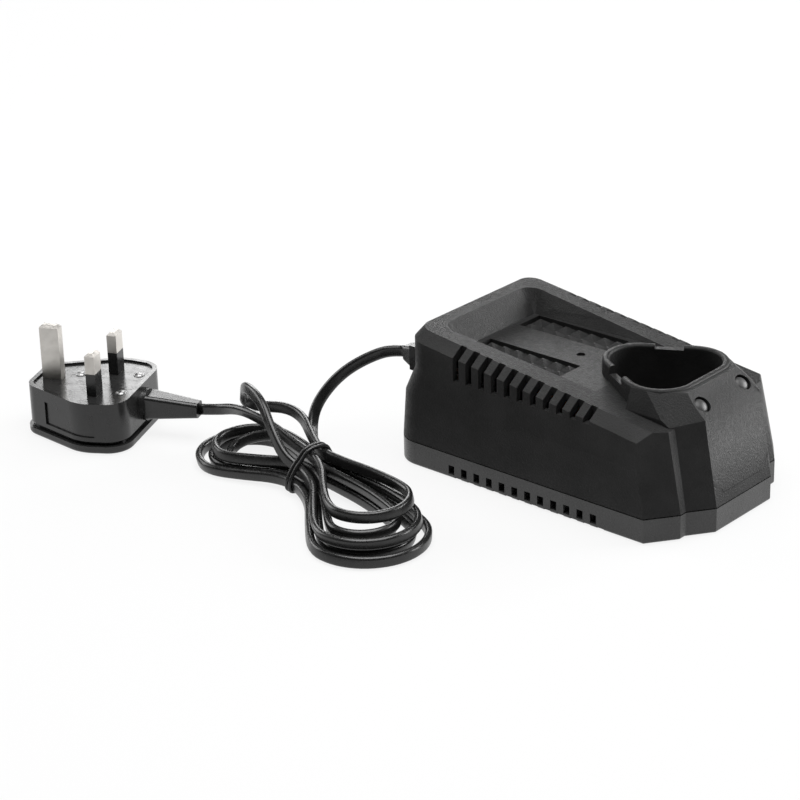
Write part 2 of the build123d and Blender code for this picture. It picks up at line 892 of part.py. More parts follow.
def light_pipe_x():
    """Where the light pipes stand along the charger."""
    return light_guide_seat(1).origin.X - light_guide_depth * light_guide_pipe_share


def light_pipe(side, grow):
    """The upright pipe between a lamp and its window, or the room for it."""
    start = board_top + lamp_height + part_clearance
    reach = light_guide_seat(side).origin.Z - light_guide_depth + grow - start
    return rod(light_pipe_diameter + grow * 2, (light_pipe_x(), side * light_guide_y, start), reach)


def light_guide(side):
    """The window and the clear pipe that brings the lamp's light up to it."""
    return light_guide_lens(side, 0) + light_pipe(side, 0)


def lamp(side):
    """A small round lamp on the board under its light pipe."""
    pipe_x = light_pipe_x()
    bulb = rod(lamp_diameter, (pipe_x, side * light_guide_y, board_top), lamp_height)
    bulb = fillet(bulb.edges().group_by(Axis.Z)[-1], lamp_diameter / 2.2)
    return bulb + rod(lamp_diameter + lamp_rim * 2, (pipe_x, side * light_guide_y, board_top), lamp_rim * 2)


def blade_places():
    """Where the charging contacts stand across the holder."""
    return [(index - (blade_count - 1) / 2) * blade_pitch for index in range(blade_count)]


def contact_blade(offset_x, grow):
    """One flat contact, from the board up into the socket."""
    top = socket_floor_height + terminal_rise + blade_rise
    half_x = blade_thickness / 2 + grow
    half_y = blade_width / 2 + grow
    middle = terminal_x + offset_x
    return block((middle - half_x, middle + half_x), (-half_y, half_y), (board_top, top))


def contact_blades():
    """The contacts that touch the battery's terminals."""
    return group(contact_blade(place, 0) for place in blade_places())


def terminal_block():
    """The holder of the contacts: it stands on the board and rises into the socket."""
    holder = block(
        (terminal_x - terminal_length / 2, terminal_x + terminal_length / 2),
        (-terminal_width / 2, terminal_width / 2),
        (board_top, socket_floor_height + terminal_rise),
    )
    holder = chamfer(holder.edges().filter_by(Axis.Z), terminal_bevel)
    for place in blade_places():
        holder -= contact_blade(place, terminal_clearance / 4)
    return holder


gland_end_x = -crease_high_back - gland_flange_depth - gland_boot_length


def cord_gland():
    """Neck in the back wall, flange outside it and a tapered boot round the cord."""
    flange_end = -crease_high_back - gland_flange_depth
    gland = gland_block(gland_neck, gland_neck, (-crease_high_back, gland_neck_length - crease_high_back))
    gland += gland_block(gland_flange_width, gland_flange_height, (flange_end, -crease_high_back))
    root = Plane(origin=(flange_end, gland_y, gland_height), z_dir=(-1, 0, 0))
    boot = loft([
        root * RectangleRounded(gland_flange_width, gland_flange_width, gland_boot_round),
        root.offset(gland_boot_length) * RectangleRounded(gland_boot_end, gland_boot_end, gland_boot_round),
    ])
    return gland + boot


def mains_leads():
    """The two cores, from the gland down to the board."""
    start_x = gland_neck_length - crease_high_back
    cores = []
    for side in (-1, 1):
        start_y = gland_y + side * lead_spacing / 2
        drop_y = lead_drop_y + side * lead_spacing / 2
        route = FilletPolyline(
            (start_x, start_y, gland_height),
            (lead_drop_x, start_y, gland_height),
            (lead_drop_x, drop_y, gland_height - lead_swing),
            (lead_drop_x, drop_y, board_top),
            radius=lead_diameter,
        )
        cores.append(sweep(Plane(route @ 0, z_dir=route % 0) * Circle(lead_diameter / 2), path=route))
    return group(cores)


def on_table(shape):
    """Moves a plug piece from the plug's own frame to its place on the table."""
    return Pos(plug_place[0], plug_place[1], 0) * Rot(0, 0, plug_turn) * shape


def plug_plan(inset):
    """Plan of the plug: narrow at the earth pin's end, broad at the cord's end."""
    corners = [
        (plug_end_u, plug_end_half_width, plug_end_round),
        (plug_shoulder_u, plug_half_width, plug_shoulder_round),
        (plug_cord_u, plug_cord_half_width, plug_cord_round),
    ]
    half = [(u, v) for u, v, radius in corners]
    mirrored = [(u, -v) for u, v in reversed(half)]
    face = make_face(Polyline(*half, *mirrored, close=True))
    for u, v, radius in corners:
        tips = [
            vertex
            for vertex in face.vertices()
            if abs(vertex.X - u) + abs(abs(vertex.Y) - v) < plug_tip_reach
        ]
        face = fillet(tips, radius)
    return offset(face, amount=-inset) if inset else face


def carrier_block(grow, z_range):
    """The fuse carrier's block, or the pocket that it slides in."""
    half_u = carrier_length / 2 + grow
    half_v = carrier_width / 2 + grow
    return block(
        (carrier_middle_u - half_u, carrier_middle_u + half_u),
        (-half_v, half_v),
        z_range,
    )


fuse_height = plug_height - carrier_plate - fuse_diameter / 2 - clip_gap


def fuse_pocket():
    """The pocket in the plug for the carrier, the fuse and its clips."""
    foot = fuse_height - fuse_diameter / 2 - clip_gap - clip_thickness
    return carrier_block(carrier_clearance, (foot, plug_height))


def plug_body():
    """The moulded body: a rounded foot, a drawn-in waist, and sides with a shallow panel."""
    waist_top = plug_foot_height + plug_waist_height
    rim_top = plug_height + plug_rim_height
    foot = extrude(plug_plan(-plug_foot_grow), amount=plug_foot_height)
    foot = fillet(foot.edges().group_by(Axis.Z)[0], plug_foot_round)
    body = foot + extrude(plug_plan(plug_waist_inset), amount=waist_top)
    body += extrude(Pos(0, 0, waist_top) * plug_plan(0), amount=rim_top - waist_top)
    ring = extrude(plug_plan(-plug_foot_grow), amount=plug_height)
    ring -= extrude(plug_plan(plug_panel_depth), amount=plug_height)
    u_range = (plug_panel_middle_u - plug_panel_half_length, plug_panel_middle_u + plug_panel_half_length)
    for side in (-1, 1):
        v_range = sorted((0, side * plug_half_width * 2))
        body -= ring & block(u_range, v_range, (plug_panel_low, plug_panel_high))
    outlet = Plane(origin=(0, 0, plug_outlet_height), z_dir=(1, 0, 0))
    collar = extrude(outlet * Circle(plug_outlet_diameter / 2), amount=plug_cord_u + plug_outlet_depth)
    body += collar & block((0, plug_cord_u * 2), (-plug_half_width, plug_half_width), (0, plug_height))
    floor = plug_height - plug_face_thickness
    body -= extrude(Pos(0, 0, floor) * plug_plan(plug_face_inset), amount=rim_top - floor)
    body -= fuse_pocket()
    for shape in pin_roots(plug_face_clearance):
        body -= shape
    return on_table(body)


def plug_face():
    """The hard plate that carries the pins, let into the body."""
    floor = plug_height - plug_face_thickness
    plan = plug_plan(plug_face_inset + plug_face_clearance)
    plate = extrude(Pos(0, 0, floor) * plan, amount=plug_face_thickness)
    plate -= fuse_pocket()
    for shape in pin_roots(plug_face_clearance):
        plate -= shape
    return on_table(plate)


def pin_bar(u, v, size_u, size_v, z_range):
    """A square bar at a pin's place."""
    return block((u - size_u / 2, u + size_u / 2), (v - size_v / 2, v + size_v / 2), z_range)


def pin_roots(grow):
    """The stretches of the three pins that stand inside the plug."""
    depth = (plug_height - pin_root - grow, plug_height)
    roots = [pin_bar(-pin_spacing, 0, earth_pin_width + grow * 2, pin_thickness + grow * 2, depth)]
    for side in (-1, 1):
        place = side * pin_spacing / 2
        roots.append(pin_bar(0, place, pin_thickness + grow * 2, live_pin_width + grow * 2, depth))
    return roots


def earth_pin():
    """The longer earth pin, broad side on, with a bevelled tip."""
    span = (plug_height - pin_root, plug_height + earth_pin_length)
    pin = pin_bar(-pin_spacing, 0, earth_pin_width, pin_thickness, span)
    return on_table(chamfer(pin.edges().group_by(Axis.Z)[-1], pin_tip_bevel))


def current_pin(side):
    """A live or neutral pin: full size at its tip and root, thinner inside its sleeve."""
    place = side * pin_spacing / 2
    span = (plug_height - pin_root, plug_height + live_pin_length)
    pin = pin_bar(0, place, pin_thickness, live_pin_width, span)
    pin = chamfer(pin.edges().group_by(Axis.Z)[-1], pin_tip_bevel)
    return on_table(pin - sleeve_ring(place, sleeve_wall))


def sleeve_ring(place, wall):
    """The insulated stretch next to the plug's face, flush with the bare tip."""
    span = (plug_height, plug_height + sleeve_length)
    ring = pin_bar(0, place, pin_thickness, live_pin_width, span)
    return ring - pin_bar(0, place, pin_thickness - wall * 2, live_pin_width - wall * 2, span)


def pin_sleeve(side):
    """The insulating sleeve of a live or neutral pin."""
    return on_table(sleeve_ring(side * pin_spacing / 2, sleeve_wall - sleeve_clearance))


def fuse_carrier():
    """The little drawer: a cover plate with two cheeks that hold the fuse's middle."""
    top = (plug_height - carrier_plate, plug_height)
    carrier = carrier_block(0, top)
    middle = fuse_length / 2 - fuse_cap_length - carrier_clearance
    for side in (-1, 1):
        v_range = sorted((side * (carrier_width / 2 - carrier_cheek), side * carrier_width / 2))
        u_range = (carrier_middle_u - middle, carrier_middle_u + middle)
        carrier += block(u_range, v_range, (plug_height - carrier_depth, plug_height - carrier_plate))
    return on_table(carrier)


def plug_fuse():
    """A cartridge fuse: a ceramic barrel with two caps."""
    axis = Plane(origin=(carrier_middle_u - fuse_length / 2, 0, fuse_height), z_dir=(1, 0, 0))
    barrel = extrude(axis * Circle(fuse_diameter / 2 - clip_gap), amount=fuse_length)
    for start in (0, fuse_length - fuse_cap_length):
        barrel += extrude(axis.offset(start) * Circle(fuse_diameter / 2), amount=fuse_cap_length)
    return on_table(barrel)


def fuse_clips():
    """Two sprung channels, open upwards, that grip the fuse's caps."""
    clips = []
    half_v = fuse_diameter / 2 + clip_gap
    floor = fuse_height - fuse_diameter / 2 - clip_gap
    for side in (-1, 1):
        middle = carrier_middle_u + side * (fuse_length - fuse_cap_length) / 2
        u_range = (middle - clip_length / 2, middle + clip_length / 2)
        outer_v = half_v + clip_thickness
        outer = block(u_range, (-outer_v, outer_v), (floor - clip_thickness, fuse_height))
        clips.append(on_table(outer - block(u_range, (-half_v, half_v), (floor, fuse_height))))
    return group(clips)


relief_start_u = plug_cord_u + plug_outlet_depth
cord_exit_u = relief_start_u + relief_length


def plug_strain_relief():
    """The tapered square sleeve where the cord enters the plug."""
    root = Plane(origin=(relief_start_u, 0, plug_outlet_height), x_dir=(0, 1, 0), z_dir=(1, 0, 0))
    sleeve = loft([
        root * RectangleRounded(relief_root, relief_root, relief_round),
        root.offset(relief_length) * RectangleRounded(relief_end, relief_end, relief_round),
    ])
    return on_table(sleeve)


def turned(degrees, along, across):
    """A level step in a frame that is turned about the upright axis."""
    angle = math.radians(degrees)
    return Vector(
        along * math.cos(angle) - across * math.sin(angle),
        along * math.sin(angle) + across * math.cos(angle),
        0,
    )


hank_waist_turn = (hank_right_turn + hank_left_turn) / 2


def hank_node(turn):
    """Place and direction of the hank's cord after a number of turns, in eighths of a turn."""
    inset = hank_step * min(turn, hank_turns_in * 2 - turn)
    eighth = round(turn * hank_nodes_a_turn) % hank_nodes_a_turn
    waist = hank_waist_half_width - inset
    right = hank_right_half_width - inset
    left = hank_left_half_width - inset
    along, across, degrees, heading = [
        (0, waist, hank_waist_turn, (1, 0)),
        (hank_right_reach, right, hank_right_turn, (1, 0)),
        (hank_right_reach + right, 0, hank_right_turn, (0, -1)),
        (hank_right_reach, -right, hank_right_turn, (-1, 0)),
        (0, -waist, hank_waist_turn, (-1, 0)),
        (-hank_left_reach, -left, hank_left_turn, (-1, 0)),
        (-hank_left_reach - left, 0, hank_left_turn, (0, 1)),
        (-hank_left_reach, left, hank_left_turn, (1, 0)),
    ][eighth]
    height = hank_base
    if turn > hank_turns_in:
        height += hank_layer
    if not along:
        height += hank_waist_lift
    place = Vector(hank_place[0], hank_place[1], height) + turned(degrees, along, across)
    return place, turned(degrees, *heading)


def hank_nodes():
    """The whole route of the hank, with a straight run at each end."""
    count = round(hank_turns * hank_nodes_a_turn)
    nodes = [hank_node(index / hank_nodes_a_turn) for index in range(count + 1)]
    first, heading = nodes[0]
    nodes.insert(0, (first - heading * hank_end_run, heading))
    last, level = nodes.pop()
    pitch = math.radians(hank_exit_pitch)
    rising = level * math.cos(pitch) + Vector(0, 0, math.sin(pitch))
    last += Vector(0, 0, hank_exit_lift)
    return nodes + [(last, rising), (last + rising * hank_end_run, rising)]


def tangent_arc(start, end, heading):
    """An arc, or a straight line, that leaves a point along a heading."""
    chord = end - start
    lean = math.radians(heading.get_angle(chord))
    if math.sin(lean) < straight_lean:
        return Line(start, end)
    bulge = (heading - chord.normalized() * math.cos(lean)).normalized()
    middle = (start + end) / 2 + bulge * (chord.length / 2 * math.tan(lean / 2))
    return ThreePointArc(start, middle, end)


def biarc(node, other):
    """Two arcs that join two places along their own headings."""
    start, leaving = node
    end, arriving = other
    gap = end - start
    both = leaving + arriving
    spread = 1 - leaving.dot(arriving)
    if spread < straight_lean:
        reach = gap.dot(gap) / (gap.dot(arriving) * 4)
    else:
        pull = gap.dot(both)
        reach = (math.sqrt(pull * pull + gap.dot(gap) * spread * 2) - pull) / (spread * 2)
    joint = (start + leaving * reach + end - arriving * reach) / 2
    first = tangent_arc(start, joint, leaving)
    return [first, tangent_arc(joint, end, first % 1)]


def cord_section(route, diameter):
    """The cord's section at the start of its route."""
    return Plane(route @ 0, z_dir=route % 0) * RegularPolygon(diameter / 2, cord_sides)


def least_gap(route, diameter):
    """The least gap of a wound tube to its own neighbouring turns, measured on points."""
    count = round(route.length / (diameter * gap_point_share))
    points = [route @ (index / count) for index in range(count + 1)]
    apart = round(math.pi / gap_point_share)
    pairs = ((a, b) for a in range(count + 1) for b in range(a + apart, count + 1))
    return min((points[a] - points[b]).length for a, b in pairs) - diameter


def hank_route():
    """The hank's centre line: biarcs from node to node."""
    nodes = hank_nodes()
    edges = []
    for node, other in zip(nodes, nodes[1:]):
        edges += biarc(node, other)
    return Wire(edges)


def cord_hank():
    """The tied part of the cord, wound in two layers and drawn in at the waist."""
    route = hank_route()
    print("hank length", round(route.length), "least gap", round(least_gap(route, cord_diameter), 2))
    return sweep(cord_section(route, cord_diameter), path=route)


def lead_radii(points):
    """The radius at each corner of a free stretch, as large as its two runs allow."""
    radii = []
    for before, place, after in zip(points, points[1:], points[2:]):
        half_turn = math.radians((place - before).get_angle(after - place)) / 2
        shorter = min((place - before).length, (after - place).length)
        radii.append(cord_arc_share * shorter / math.tan(half_turn))
    return radii


def cord_lead(name, places):
    """A free stretch of the cord: straight runs joined by large arcs."""
    points = [Vector(place) for place in places]
    radii = lead_radii(points)
    route = FilletPolyline(*points, radius=radii)
    print(name, "length", round(route.length), "radii", [round(radius) for radius in radii])
    return sweep(cord_section(route, cord_diameter), path=route)


def from_corner(places):
    """Places measured from the case's near back corner, in the charger's frame."""
    corner = Vector(-half_length, -half_width, 0)
    return [corner + Vector(*place) for place in places]


def gland_lead():
    """The cord from the gland down to the hank."""
    start = (gland_end_x, gland_y, gland_height)
    second = (gland_end_x - gland_lead_first_run, gland_y, gland_height)
    end, heading = hank_nodes()[0]
    before = end - heading * gland_lead_first_run
    return cord_lead("gland lead", [start, second, *from_corner(gland_lead_places), before, end])


def plug_lead():
    """The cord from the hank over its loops to the plug."""
    start, heading = hank_nodes()[-1]
    second = start + heading * plug_lead_first_run
    ends = [
        Vector(plug_place[0], plug_place[1], plug_outlet_height) + turned(plug_turn, reach, 0)
        for reach in (cord_exit_u + plug_lead_last_run, cord_exit_u)
    ]
    return cord_lead("plug lead", [start, second, *from_corner(plug_lead_places), *ends])


def cord_tie():
    """A thin wire wound round the hank's waist."""
    half_width = hank_waist_half_width + hank_step * (hank_turns - hank_turns_in * 2) + cord_diameter / 2
    half_width += tie_clearance + tie_diameter / 2
    low = tie_diameter / 2
    high = hank_base + hank_waist_lift + hank_layer + hank_exit_lift + cord_diameter / 2
    high += (tie_clearance + tie_diameter) * 2
    corners = [(half_width, high), (half_width, low), (-half_width, low), (-half_width, high)]
    points = [(0, high)]
    for turn in range(tie_turns):
        points += corners
    points.append((0, high))
    step = tie_pitch / len(corners)
    middle = Vector(hank_place[0], hank_place[1], 0)
    places = [
        middle + turned(hank_waist_turn, (index - len(points) / 2) * step, across) + Vector(0, 0, height)
        for index, (across, height) in enumerate(points)
    ]
    route = FilletPolyline(*places, radius=tie_round)
    print("tie length", round(route.length), "least gap", round(least_gap(route, tie_diameter), 2))
    return sweep(cord_section(route, tie_diameter), path=route)


pieces = {
    "upper_housing": upper_housing(),
    "lower_housing": lower_housing(),
    "left_light_guide": light_guide(1),
    "right_light_guide": light_guide(-1),
    "cord_gland": cord_gland(),
    "gland_lead": gland_lead(),
    "cord_hank": cord_hank(),
    "plug_lead": plug_lead(),
    "cord_tie": cord_tie(),
    "plug_strain_relief": plug_strain_relief(),
    "plug_body": plug_body(),
    "plug_face": plug_face(),
    "earth_pin": earth_pin(),
    "live_pin": current_pin(-1),
    "neutral_pin": current_pin(1),
    "live_sleeve": pin_sleeve(-1),
    "neutral_sleeve": pin_sleeve(1),
    "fuse_carrier": fuse_carrier(),
    "plug_fuse": plug_fuse(),
    "fuse_clips": fuse_clips(),
    "case_screws": case_screws(),
    "circuit_board": circuit_board(),
    "board_screws": board_screws(),
    "transformer_core": transformer_core(),
    "transformer_bobbin": transformer_bobbin(),
    "transformer_winding": transformer_winding(),
    "bulk_capacitor": capacitor(bulk_capacitor_diameter, bulk_capacitor_height, bulk_capacitor_place),
    "output_capacitor": capacitor(output_capacitor_diameter, output_capacitor_height, output_capacitor_place),
    "input_choke": input_choke(),
    "board_fuse": board_fuse(),
    "heatsink": heatsink(),
    "power_transistor": power_transistor(),
    "transistor_screw": transistor_screw(),
    "controller_chip": controller_chip(),
    "red_led": lamp(1),
    "green_led": lamp(-1),
    "terminal_block": terminal_block(),
    "contact_blades": contact_blades(),
    "mains_leads": mains_leads(),
}
for node, piece in pieces.items():
    save(piece, node)
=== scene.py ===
"""Looks of a desktop battery charger with its tied flat cord and its plug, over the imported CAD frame."""

import math

import bpy
import numpy
from mathutils import Matrix, Vector


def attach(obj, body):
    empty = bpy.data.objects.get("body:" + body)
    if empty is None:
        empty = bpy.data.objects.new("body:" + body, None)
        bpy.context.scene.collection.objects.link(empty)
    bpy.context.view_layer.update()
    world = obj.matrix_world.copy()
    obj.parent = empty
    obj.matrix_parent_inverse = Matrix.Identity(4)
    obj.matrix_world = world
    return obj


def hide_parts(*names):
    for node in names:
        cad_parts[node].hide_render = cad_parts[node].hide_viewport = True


MM = 0.001

# Camera, fitted to the photograph: place in millimetres, angles in degrees, lens on a 36 mm sensor
CAMERA_PLACE = (558.6, -738.3, 437.4)
CAMERA_AZIMUTH = 41.721
CAMERA_ELEVATION = 23.798
CAMERA_ROLL = -1.488
CAMERA_LENS = 120.3
SENSOR = 36.0

# Lamps: name, place and target in metres, size in metres and power in watts
LAMPS = [
    ("top_panel", (0.05, -0.05, 1.3), (0, 0, 0.02), 1.2, 29),
    ("right_panel", (0.85, 1.3, 0.36), (0, 0, 0.02), 1.2, 58),
    ("back_panel", (-1.05, 1.0, 0.44), (-0.17, -0.09, 0.02), 0.6, 7),
    ("left_panel", (-1.2, -0.3, 0.5), (-0.05, -0.05, 0.02), 0.8, 8),
]
WHITE = (1, 1, 1, 1)
SURROUNDINGS_STRENGTH = 0.03

# Floor: reach in metres, drop in millimetres, grey, roughness, and how much of what is seen of it glows
FLOOR_REACH = 3.0
FLOOR_DROP = 0.2
FLOOR_GREY = 0.5
FLOOR_ROUGHNESS = 0.9
FLOOR_GLOW = 0.85

# Moulded surfaces: the clouds of colour and of gloss as shares of the grain's scale, and the grain itself
CLOUD_SHARE = 0.05
GLOSS_SHARE = 0.4
GRAIN_DETAIL = 4.0
GRAIN_ROUGHNESS = 0.65
GRAIN_DEPTH = 0.4

# Tower front, in millimetres: flat from its foot to its brow, between straight side edges
FRONT_FOOT = Vector((67.4, 17.3, 9.7))
FRONT_BROW = Vector((61.4, 17.3, 42.9))
FRONT_FACING = Vector((FRONT_BROW.z - FRONT_FOOT.z, 0, FRONT_FOOT.x - FRONT_BROW.x)).normalized()
CHAMFER_FACING = Vector((0.813, 0.582, 0.21)).normalized()
EDGE_START = 39.0
EDGE_TOP = 45.8
EDGE_TOP_LOWERED = 42.9
EDGE_SQUEEZE = (EDGE_TOP_LOWERED - EDGE_START) / (EDGE_TOP - EDGE_START)

# The wall that moves with the front, how deep its points lie, and how far back its shading goes
FRONT_WALL = 3.2
FRONT_DEPTH = 4.0
FRONT_BACK = 53.5

# How near counts as the same place, and how far a face looks forward, down, sideways or up to count as such
SNAP = 0.05
FORWARD_LEAST = 0.1
DOWNWARD_MOST = 0.1
SIDEWAYS_MOST = 0.02
UPWARD_LEAST = 0.1

# The front's shading turns from the flat part to the slope under the socket between these heights
SHADE_HEIGHTS = (12.0, 47.0)
SLOPE_FACING = Vector((0.61, 0, 0.79))

# Notch in the far side of the socket's rim: middle, half length, floor, and how much higher it lies here
NOTCH_MIDDLE = Vector((21.7, 15.8))
NOTCH_REACH = 7.0
NOTCH_FLOOR = 48.1
NOTCH_RISE = 1.7

# Deck: its height at the middle of the charger, and its fall to the front
DECK_HEIGHT = 47.2
DECK_FALL = 0.1252

# Far slots: where they end in the deck, and how much further they are cut into it here
SLOT_END = 33.4
SLOT_CUT = 1.3

# Tray in the deck: its floor, the slope of its walls, the least height of a wall that is redrawn, and the
# middle and radius of the corners at the walls' foot, first as built and then as drawn in to the pyramids
TRAY_FLOOR = 45.0
TRAY_TAPER = math.tan(math.radians(17.0))
TRAY_LEAST = 1.5
TRAY_MIDDLE = (-47.3, 20.3)
TRAY_ROUND = 4.0
FOOT_MIDDLE = (-46.6, 20.9)
FOOT_ROUND = 0.5

# Bare raised panel on the front: half width, height and rise of its edges, corners, bevel and hidden depth
PANEL_HALF_WIDTH = 13.2
PANEL_HEIGHTS = (13.9, 36.5)
PANEL_ROUND = 1.6
PANEL_STEPS = 6
PANEL_RISES = (0.12, 0.015)
PANEL_BEVEL = 0.6
PANEL_SUNK = 0.2

# Round pieces as (radius, height) from the rim to the middle: a lamp's lens, and a rivet of the pin plate
ROUND_SIDES = 32
LENS_PROFILE = [(3.15, 0.0), (3.1, 0.35), (2.7, 0.85), (1.9, 1.3), (1.0, 1.55), (0.0, 1.62)]
LENS_SEAT = (55.9, 12.7, 45.3)
LENS_FACING = (0.642, 0, 0.767)
RIVET_PROFILE = [(2.2, 0.0), (2.15, 0.2), (1.85, 0.28), (1.65, 0.12), (1.5, 0.4), (1.05, 0.62), (0.0, 0.72)]
RIVET_PLACES = [(-162.0, -94.1, 20.0), (-188.4, -91.1, 20.0), (-169.3, -77.4, 20.0)]

# Flat twin cord, in millimetres, with the groove between its cores as shares; its whole length is in metres
CORD_WIDTH = 4.6
CORD_THICKNESS = 3.0
CORD_SIDES = 16
GROOVE_DEPTH = 0.28
GROOVE_WIDTH = 0.3
LINE_STEPS = 5
GLAND_LEAD = [
    (-70.0, -28.0, 39.5),
    (-78.5, -28.0, 38.0),
    (-86.5, -31.2, 34.2),
    (-93.8, -37.2, 28.8),
    (-98.4, -43.2, 22.2),
    (-100.6, -49.3, 14.3),
    (-97.5, -54.3, 7.2),
    (-90.3, -60.4, 4.0),
]
PLUG_LEAD = [
    (-84.5, -78.6, 14.8),
    (-95.0, -77.0, 17.4),
    (-105.0, -75.8, 18.6),
    (-114.5, -74.0, 18.2),
    (-123.0, -72.0, 16.2),
    (-130.9, -71.2, 13.4),
    (-138.7, -74.7, 12.6),
]

# Twist of the cord: degrees, middle and spread at each free end, and a slow sway between two shares of it
END_TWISTS = [(40, 0.035, 0.014), (-25, 0.985, 0.01)]
SWAY = 14
SWAY_RATE = 71
SWAY_SPAN = (0.06, 0.96)
SWAY_FADE = 20

# CAD nodes on the cord, from end to end
ON_CORD = [
    "cord_gland", "plug_strain_relief", "plug_body", "plug_face", "earth_pin", "live_pin", "neutral_pin",
    "live_sleeve", "neutral_sleeve", "fuse_carrier", "plug_fuse", "fuse_clips",
]

# Hank: where the cord passes its tied waist (across, height), and each loop on the right and on the left
# (reach, half width, turn, height at its start and at its end)
HANK_PLACE = (-73.0, -80.0)
WAIST_TURN = -14.0
WAIST = [
    (8.3, 4.0),
    (-8.3, 4.0),
    (5.0, 4.0),
    (-5.0, 4.0),
    (1.7, 4.0),
    (-1.7, 4.0),
    (1.7, 8.8),
    (-1.7, 8.8),
    (5.2, 8.8),
    (-5.2, 8.8),
    (3.4, 13.6),
    (-0.2, 13.6),
]
RIGHT_LOOPS = [
    (50.0, 22.0, -24.0, 2.4, 2.4),
    (49.0, 17.2, -24.5, 2.4, 2.4),
    (44.0, 11.6, -24.0, 2.4, 2.4),
    (47.0, 12.8, -25.0, 7.4, 7.4),
    (48.0, 19.4, -24.0, 7.4, 7.4),
    (42.0, 15.6, -19.0, 12.6, 12.6),
]
LEFT_LOOPS = [
    (37.0, 19.0, -4.0, 2.4, 2.4),
    (36.0, 14.6, -4.0, 2.4, 2.4),
    (33.0, 10.4, -6.0, 2.4, 7.6),
    (34.0, 14.6, -4.0, 7.4, 7.4),
]
# The last loop on the left stands up over the cord to the plug
UPRIGHT_LOOP = [
    (-82.0, -86.5, 12.5),
    (-90.8, -83.6, 20.5),
    (-100.6, -78.0, 27.0),
    (-111.5, -73.5, 28.2),
    (-119.5, -69.0, 25.3),
    (-122.8, -65.6, 16.8),
    (-119.6, -59.2, 13.6),
    (-108.5, -56.6, 15.4),
    (-98.0, -58.5, 14.8),
    (-86.0, -67.0, 13.8),
]
LOBE_ANGLES = (-90, -60, -30, 0, 30, 60, 90)
LOBE_SHRINK = math.cos(math.radians(15)) ** 0.8
RUN_SHARES = (0.3, 0.62)

# Wire tie round the waist: across, height, in the waist's own frame
TIE_RADIUS = 0.75
TIE_TURNS = 2
TIE_PITCH = 2.1
TIE_ROUND = [
    (0.0, 0.9),
    (-7.4, 0.9),
    (-11.0, 1.6),
    (-11.2, 5.4),
    (-8.2, 10.6),
    (-5.0, 13.8),
    (-2.6, 16.8),
    (1.6, 17.2),
    (5.6, 16.8),
    (7.2, 13.2),
    (9.4, 9.2),
    (11.2, 5.4),
    (11.0, 1.6),
    (7.4, 0.9),
]


def new_material(name):
    """An empty node material and its shader."""
    material = bpy.data.materials.new(name)
    material.use_nodes = True
    return material, material.node_tree, material.node_tree.nodes["Principled BSDF"]


def noise(tree, scale, detail=3.0, roughness=0.55):
    """A noise pattern in the object's own space, in patterns to the metre."""
    coordinates = tree.nodes.new("ShaderNodeTexCoord")
    pattern = tree.nodes.new("ShaderNodeTexNoise")
    pattern.inputs["Scale"].default_value = scale
    pattern.inputs["Detail"].default_value = detail
    pattern.inputs["Roughness"].default_value = roughness
    tree.links.new(coordinates.outputs["Object"], pattern.inputs["Vector"])
    return pattern.outputs["Fac"]


def ramp(tree, source, low, high, start=0.3, end=0.7):
    """Turns a pattern into a colour or a grey between two values."""
    node = tree.nodes.new("ShaderNodeValToRGB")
    node.color_ramp.elements[0].position = start
    node.color_ramp.elements[1].position = end
    node.color_ramp.elements[0].color = (*low, 1)
    node.color_ramp.elements[1].color = (*high, 1)
    tree.links.new(source, node.inputs["Fac"])
    return node.outputs["Color"]


def bump(tree, shader, source, distance, strength):
    """Raises a surface by a pattern."""
    node = tree.nodes.new("ShaderNodeBump")
    node.inputs["Distance"].default_value = distance
    node.inputs["Strength"].default_value = strength
    tree.links.new(source, node.inputs["Height"])
    tree.links.new(node.outputs["Normal"], shader.inputs["Normal"])


def grey(value):
    """A neutral colour."""
    return (value, value, value)


def moulded(name, dark, light, rough_low, rough_high, grain, strength, metallic=0.0, specular=0.5):
    """A moulded or metal surface: cloudy colour, uneven gloss and a fine grain."""
    material, tree, shader = new_material(name)
    clouds = noise(tree, grain * CLOUD_SHARE)
    gloss = noise(tree, grain * GLOSS_SHARE)
    tree.links.new(ramp(tree, clouds, dark, light), shader.inputs["Base Color"])
    tree.links.new(ramp(tree, gloss, grey(rough_low), grey(rough_high)), shader.inputs["Roughness"])
    bump(tree, shader, noise(tree, grain, GRAIN_DETAIL, GRAIN_ROUGHNESS), GRAIN_DEPTH * MM, strength)
    shader.inputs["Metallic"].default_value = metallic
    shader.inputs["Specular IOR Level"].default_value = specular
    return material


def dress(material, *names):
    """Gives CAD nodes a material."""
    for name in names:
        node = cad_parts[name]
        node.data.materials.clear()
        node.data.materials.append(material)


def place(point):
    """A point in metres from one in millimetres."""
    return Vector(point) * MM


def turned(degrees, along, across):
    """A level step in a frame that is turned about the upright axis."""
    angle = math.radians(degrees)
    return Vector((
        along * math.cos(angle) - across * math.sin(angle),
        along * math.sin(angle) + across * math.cos(angle),
        0,
    ))


def hank_point(degrees, along, across, height):
    """A point of the hank, in a frame that is turned about its waist."""
    return Vector((*HANK_PLACE, height)) + turned(degrees, along, across)


def run_points(passing, lobe, side, shares, width, height):
    """Points between the waist and one side of a loop."""
    reach, degrees = lobe
    points = []
    for share in shares:
        smooth = share * share * (3 - 2 * share)
        turn = WAIST_TURN + (degrees - WAIST_TURN) * smooth
        across = passing[0] + (width - passing[0]) * smooth
        lift = passing[1] + (height - passing[1]) * smooth
        points.append(hank_point(turn, side * reach * share, across, lift))
    return points


